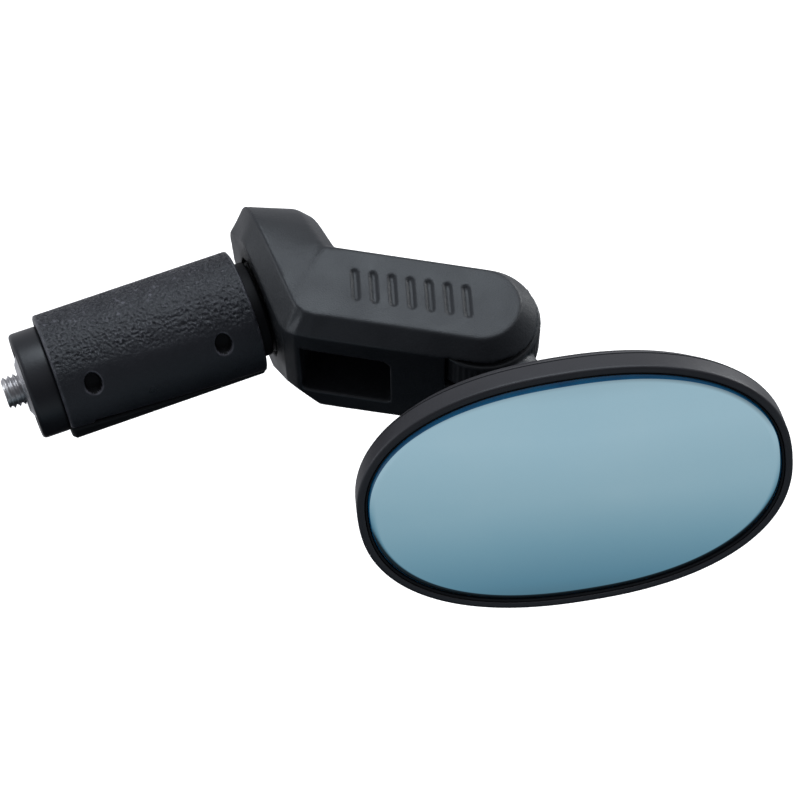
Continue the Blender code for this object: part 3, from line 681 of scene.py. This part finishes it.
def build_arm():
    """The arm housing: its boss smoothed where it turns from the stop face to the arm, and plain sunk bars
    on its top face."""
    mesh = softened("arm_shell", "arm_housing", 0.27 * MM, 3)
    points = points_of(mesh)
    x, y, z = points.T
    boss_top = smoothstep(x, 3.2 * MM, 4.4 * MM) * (1 - smoothstep(x, 11.0 * MM, 13.0 * MM))
    boss_top *= smoothstep(z, 5.0 * MM, 8.0 * MM) * smoothstep(y, -9.0 * MM, -7.0 * MM)
    mesh = smooth_where(mesh, boss_top, 24)
    points = points_of(mesh)
    x, y, z = points.T
    along = math.cos(ARM_TURN) * x + math.sin(ARM_TURN) * y
    across = -math.sin(ARM_TURN) * x + math.cos(ARM_TURN) * y
    on_top = smoothstep(z, ARM_TOP - 0.4 * MM, ARM_TOP - 0.2 * MM)
    sunk = np.zeros(len(points))
    for i in range(BAR_COUNT):
        v = across - BARS_ACROSS
        u = along - (FIRST_BAR + BAR_PITCH * i) + BAR_SLANT * v
        outside = np.hypot(np.maximum(np.abs(v) - BAR_HALF[1] + BAR_HALF[0], 0), u) - BAR_HALF[0]
        sunk = np.maximum(sunk, 1 - smoothstep(outside, -0.12 * MM, 0.22 * MM))
    points[:, 2] -= BAR_DEPTH * sunk * on_top
    set_points(mesh, points)
    piece("arm_shell", mesh, "arm", "arm", "arm_housing")


def build_knuckle():
    """The hinge barrel, with fine upright ribs round it, and its neck."""
    mesh = softened("hinge_knuckle", "knuckle", 0.16 * MM, 6)
    points = points_of(mesh)
    hinge = Vector(joints["arm_fold"]["pos_m"])
    dx, dy = points[:, 0] - hinge.x, points[:, 1] - hinge.y
    low, high = BARREL_Z
    middle = smoothstep(points[:, 2], low + 0.3 * MM, low + 0.7 * MM)
    middle *= 1 - smoothstep(points[:, 2], high - 0.7 * MM, high - 0.3 * MM)
    on_wall = (np.abs(np.hypot(dx, dy) - BARREL_RADIUS) < 0.3 * MM) * middle
    ribs = 0.5 - 0.5 * np.cos(np.arctan2(dy, dx) * BARREL_RIBS)
    scale = 1 - on_wall * ribs * RIB_DEPTH / BARREL_RADIUS
    points[:, 0] = hinge.x + dx * scale
    points[:, 1] = hinge.y + dy * scale
    set_points(mesh, points)
    piece("hinge_knuckle", mesh, "knuckle", "knuckle", "knuckle")


# ---------------------------------------------------------------- mirror head


def head_axes():
    """Axes at the ball's centre: X along the glass, Y up it, Z out through its face."""
    along = Vector(joints["ball_tilt"]["axis"]).normalized()
    up = Vector(joints["ball_swing"]["axis"]).normalized()
    out = along.cross(up).normalized()
    up = out.cross(along)
    turn = Matrix((along, up, out)).transposed().to_4x4()
    return Matrix.Translation(Vector(joints["ball_tilt"]["pos_m"])) @ turn


def oval(offset, z, scale=1.0):
    """A superellipse round the glass's outline, standing out from it by offset and then scaled."""
    ring = []
    for i in range(OVAL_SEGMENTS):
        angle = math.tau * i / OVAL_SEGMENTS
        along, up = math.cos(angle), math.sin(angle)
        x = (GLASS_HALF[0] + offset) * scale * math.copysign(abs(along) ** (2 / OVAL_POWER), along)
        y = (GLASS_HALF[1] + offset) * scale * math.copysign(abs(up) ** (2 / OVAL_POWER), up)
        ring.append(Vector((x, y, z)))
    return ring


def round_ring(radius, z):
    """A circle with as many points as an oval."""
    turns = [math.tau * i / OVAL_SEGMENTS for i in range(OVAL_SEGMENTS)]
    return [Vector((radius * math.cos(angle), radius * math.sin(angle), z)) for angle in turns]


def blend_rings(first, second, share):
    """The ring that lies a share of the way from the first to the second."""
    return [a.lerp(b, share) for a, b in zip(first, second)]


def shell_height(scale):
    """Height of the shell's back, at a share of the way from its middle to its outline."""
    return SHELL_BACK + SHELL_RISE * scale**6


def build_shell(axes):
    """The back shell: a shallow dome round the socket, and the side wall that frames the glass."""
    outer, wall = RIM_WIDTH, WALL_THICKNESS
    front = GLASS_DEPTH + 0.1 * MM
    side_back = front - SIDE_HEIGHT
    hole = SOCKET_OUTER + 0.15 * MM
    collar = rounded(
        [
            (hole, SHELL_BACK + SHELL_THICKNESS),
            (hole, SHELL_BACK, 0.15 * MM),
            (hole + 1.1 * MM, SHELL_BACK, 0.3 * MM),
            (hole + 1.5 * MM, SHELL_BACK + 0.35 * MM, 0.3 * MM),
            (hole + 2.2 * MM, SHELL_BACK + 0.35 * MM),
        ],
        0.2 * MM,
        4,
    )
    rings = [round_ring(r, z) for r, z in collar]
    last = rings[-1]
    steps = 30
    inmost, outmost = 0.34, 0.955
    for i in range(1, steps + 1):
        share = i / steps
        scale = inmost + (outmost - inmost) * share
        target = oval(outer, shell_height(scale) + 0.35 * MM * (1 - share), scale)
        flat = [Vector((p.x, p.y, target[0].z)) for p in last]
        rings.append(blend_rings(flat, target, smoothstep(share, 0.0, 0.45)))
    profile = rounded(
        [
            (outer * outmost - 1.4 * MM, shell_height(outmost)),
            (outer - 0.5 * MM, side_back + 0.1 * MM, 0.9 * MM),
            (outer, side_back + 1.3 * MM, 0.6 * MM),
            (outer, side_back + 1.35 * MM, 0.02 * MM),
            (outer - 0.14 * MM, side_back + 1.42 * MM, 0.02 * MM),
            (outer - 0.14 * MM, side_back + 1.52 * MM, 0.02 * MM),
            (outer, side_back + 1.6 * MM, 0.02 * MM),
            (outer, front, 0.55 * MM),
            (outer - wall, front, 0.2 * MM),
            (outer - wall, side_back + 1.0 * MM, 0.3 * MM),
            (outer - wall - 1.2 * MM, side_back + 0.6 * MM),
        ],
        0.2 * MM,
        5,
    )
    rings += [oval(offset, z) for offset, z in profile[1:]]
    inside_back = SHELL_BACK + SHELL_THICKNESS
    start_z = side_back + 0.6 * MM
    steps = 12
    inmost, outmost = 0.36, 0.93
    for i in range(1, steps + 1):
        share = i / steps
        scale = outmost - (outmost - inmost) * share
        z = inside_back + (start_z - inside_back) * (1 - share) ** 2
        rings.append(blend_rings(oval(outer - wall, z, scale), round_ring(hole + 0.3 * MM, z), share**2))
    mesh = mesh_of_rings("back_shell", rings, True, axes)
    piece("back_shell", mesh, "head", "mirror_head", "head_shell")


def build_glass(axes):
    """The front lip and the convex glass. The glass's blue edge shows as a strip that is widest above:
    partly the glass's own colour, and partly a painted reflection of the rim.
    """
    front = GLASS_DEPTH
    inner, outer = 0.42 * MM, RIM_WIDTH - 1.2 * MM
    lip = rounded(
        [
            (inner, front - 3.6 * MM),
            (outer, front - 3.6 * MM),
            (outer, front - 0.05 * MM, 0.2 * MM),
            ((inner + outer) / 2, front, 0.15 * MM),
            (inner, front - 0.2 * MM, 0.2 * MM),
        ],
        0.1 * MM,
        4,
        True,
    )
    mesh = mesh_of_rings("front_lip", [oval(offset, z) for offset, z in lip], True, axes)
    piece("front_lip", mesh, "black_and_painted_shade", "mirror_head", "bezel")

    glass_edge_at = 0.32 * MM
    border_z = front - 0.3 * MM
    middle = border_z + GLASS_CROWN
    border = oval(glass_edge_at, border_z)
    painted_strip_inner = []
    for i, point in enumerate(border):
        angle = math.tau * i / len(border)
        # The blue strip is partly a painted reflection of the rim, so it is made widest at the top.
        strip = 0.15 * MM + 0.7 * MM * max(math.cos(angle - math.radians(100)), 0) ** 1.5
        painted_strip_inner.append(point * (1 - strip / point.xy.length))
    rings = [[Vector((0, 0, middle))]]
    steps = 32
    for i in range(1, steps + 1):
        share = i / steps
        z = middle - GLASS_CROWN * share**2
        rings.append([Vector((point.x * share, point.y * share, z)) for point in painted_strip_inner])
    rings.append(oval(glass_edge_at - 0.04 * MM, front - 0.42 * MM))
    rings.append(oval(glass_edge_at, front - 0.5 * MM))
    rings.append(oval(glass_edge_at, front - 2.0 * MM))
    mesh = mesh_of_rings("convex_glass", rings, False, axes)
    piece("convex_glass", mesh, "mirror", "mirror_head", "mirror_glass")
    # The edge faces take the deep blue: partly the glass's own colour, and partly a painted reflection.
    mesh.materials.append(LOOKS["glass_edge"])
    for polygon in mesh.polygons[steps * len(border) :]:
        polygon.material_index = 1


def sphere_line(radius, start, end, steps):
    """Profile points on a sphere. The angles are in degrees and count from the glass side."""
    points = []
    for i in range(steps + 1):
        angle = math.radians(start + (end - start) * i / steps)
        points.append((radius * math.cos(angle), radius * math.sin(angle)))
    return points


def build_socket(axes):
    """The ball socket: a cup behind the glass, and a ring that holds the ball from the back."""
    turn = axes @ ALONG_Z
    socket = SOCKET_RADIUS
    cup_start = 14
    cup = sphere_line(socket, cup_start, 90, 14) + [
        (0, SOCKET_OUTER),
        (3.4 * MM, SOCKET_OUTER),
        (5.9 * MM, SOCKET_OUTER - 1.5 * MM),
        (6.6 * MM, SOCKET_OUTER - 3 * MM),
        (6.6 * MM, socket * math.sin(math.radians(cup_start))),
    ]
    mesh = lathe("ball_socket_cup", cup, 96, turn)
    piece("ball_socket_cup", mesh, "smooth", "mirror_head", "socket_cup")

    opening = 180 - SOCKET_OPENING
    back = socket * math.cos(math.radians(opening))
    mouth = socket * math.sin(math.radians(opening))
    top = -0.15 * MM
    outer_line = rounded(
        [
            (back, mouth),
            (back - 0.1 * MM, mouth + 0.5 * MM, 0.2 * MM),
            (back - 0.1 * MM, SOCKET_OUTER - 0.9 * MM, 0.6 * MM),
            (back + 0.9 * MM, SOCKET_OUTER, 0.5 * MM),
            (top, SOCKET_OUTER),
        ],
        0.15 * MM,
        5,
    )
    start = math.degrees(math.acos(top / socket))
    ring = sphere_line(socket, start, opening, 10) + outer_line[1:]
    mesh = lathe("ball_socket_ring", ring, 120, turn)
    piece("ball_socket_ring", mesh, "smooth", "mirror_head", "socket_ring")


def dress(node, look):
    """Gives a CAD node that stays in view a better material and softer edges."""
    obj = nodes[node]
    obj.data.materials.clear()
    obj.data.materials.append(LOOKS[look])
    bevel = obj.modifiers.new("soft_edges", "BEVEL")
    bevel.width = 0.08 * MM
    bevel.segments = 2
    bevel.limit_method = "ANGLE"
    bevel.angle_limit = math.radians(40)


# ---------------------------------------------------------------- studio


def build_floor(middle, z):
    """A pale floor that glows a little and neither lights the part nor shows in its reflections."""
    bm = bmesh.new()
    bmesh.ops.create_grid(bm, x_segments=8, y_segments=8, size=2.5)
    mesh = bpy.data.meshes.new("floor")
    bm.to_mesh(mesh)
    bm.free()
    floor = bpy.data.objects.new("floor", mesh)
    floor.location = (middle.x, middle.y, z)
    bpy.context.scene.collection.objects.link(floor)
    material, tree, shader = new_material("pale_floor")
    where = add(tree, "ShaderNodeTexCoord").outputs["Object"]
    mottle = remap(tree, noise_value(tree, where, 0.4, 3), 0.3, 0.7, 0.0, 1.0)
    base = mix_colours(tree, mottle, (0.93, 0.93, 0.93), (0.95, 0.95, 0.95))
    tree.links.new(base, shader.inputs["Base Color"])
    shader.inputs["Roughness"].default_value = 0.9
    shader.inputs["Emission Color"].default_value = (1, 1, 1, 1)
    shader.inputs["Emission Strength"].default_value = 0.6
    mesh.materials.append(material)
    floor.visible_glossy = False
    floor.visible_diffuse = False


def build_sky():
    """A soft sky. In front it is dark below, pale round the horizon and dark above, and behind it is
    evenly pale, so the mirror shows a gradient and the black plastic gets a soft sheen."""
    world = bpy.data.worlds.new("studio_sky")
    bpy.context.scene.world = world
    world.use_nodes = True
    tree = world.node_tree
    direction = add(tree, "ShaderNodeTexCoord").outputs["Generated"]
    parts = add(tree, "ShaderNodeSeparateXYZ", {0: direction})
    tilt = calculate(tree, "MULTIPLY", parts.outputs["X"], 0.12)
    tilted = calculate(tree, "ADD", parts.outputs["Z"], tilt)
    height = remap(tree, tilted, -1.03, 0.97, 0, 1)
    ramp = add(tree, "ShaderNodeValToRGB", {"Fac": height})
    stops = (
        (0.00, (0.01, 0.01, 0.012)),
        (0.29, (0.02, 0.025, 0.03)),
        (0.35, (0.17, 0.27, 0.33)),
        (0.39, (0.28, 0.37, 0.42)),
        (0.44, (0.44, 0.49, 0.525)),
        (0.50, (0.53, 0.565, 0.60)),
        (0.54, (0.53, 0.565, 0.60)),
        (0.60, (0.35, 0.36, 0.38)),
        (0.68, (0.10, 0.10, 0.11)),
        (0.85, (0.12, 0.12, 0.13)),
        (1.00, (0.40, 0.40, 0.42)),
    )
    elements = ramp.color_ramp.elements
    for i, (position, colour) in enumerate(stops):
        element = elements[i] if i < 2 else elements.new(position)
        element.position = position
        element.color = (*colour, 1.0)
    behind = remap(tree, parts.outputs["Y"], 0.05, 0.45, 0.0, 1.0, smooth=True)
    colour = mix_colours(tree, behind, ramp.outputs["Color"], (0.52, 0.53, 0.56))
    background = tree.nodes["Background"]
    tree.links.new(colour, background.inputs["Color"])
    background.inputs["Strength"].default_value = 1.0


def area_light(name, target, away, size, power, colour):
    """A round soft light that stands away from the target and faces it."""
    light = bpy.data.lights.new(name, "AREA")
    light.shape = "DISK"
    light.size = size
    light.energy = power
    light.color = colour
    obj = bpy.data.objects.new(name, light)
    obj.location = target + away
    obj.rotation_euler = (-away).to_track_quat("-Z", "Y").to_euler()
    bpy.context.scene.collection.objects.link(obj)


def build_camera():
    """The viewing angle of a person who looks down at the mirror from its near left side."""
    camera = bpy.data.cameras.new("camera")
    camera.lens = 98.94
    camera.sensor_width = 36.0
    camera.clip_start = 0.01
    camera.clip_end = 20.0
    obj = bpy.data.objects.new("camera", camera)
    obj.rotation_euler = Euler((math.radians(28.832), math.radians(0.386), math.radians(-21.846)))
    obj.location = Vector((-43.610, -171.687, 288.610)) * MM
    bpy.context.scene.collection.objects.link(obj)
    bpy.context.scene.camera = obj


def build_studio():
    """The floor, a large soft light above and behind, a smaller one on each side, and the sky."""
    low, high = cad_box
    middle = (low + high) / 2
    build_floor(middle, low.z - 0.16)
    area_light("key", middle, Vector((0.10, 0.30, 0.50)), 0.42, 1.85, (0.93, 0.97, 1.0))
    area_light("left", middle, Vector((-0.55, 0.25, 0.12)), 0.30, 0.7, (0.97, 0.98, 1.0))
    area_light("right", middle, Vector((0.50, 0.22, 0.10)), 0.25, 1.2, (1.0, 0.99, 0.97))
    build_sky()


bpy.context.scene.view_settings.view_transform = "Standard"
build_plug()
build_arm()
build_knuckle()
mirror_axes = head_axes()
build_shell(mirror_axes)
build_glass(mirror_axes)
build_socket(mirror_axes)
for node_name in (
    "hinge_bolt",
    "hinge_nut",
    "boss_bush",
    "bolt_washer",
    "ball_stud",
    "stud_pin",
    "socket_screw_1",
    "socket_screw_2",
    "socket_screw_3",
):
    dress(node_name, "steel")
for node_name in ("turn_washer", "friction_washer_top", "friction_washer_bottom"):
    dress(node_name, "black_and_painted_shade")
dress("ball_liner", "nylon")
dress("adhesive_pad", "foam")
dress("reflector", "mirror")
build_studio()
build_camera()
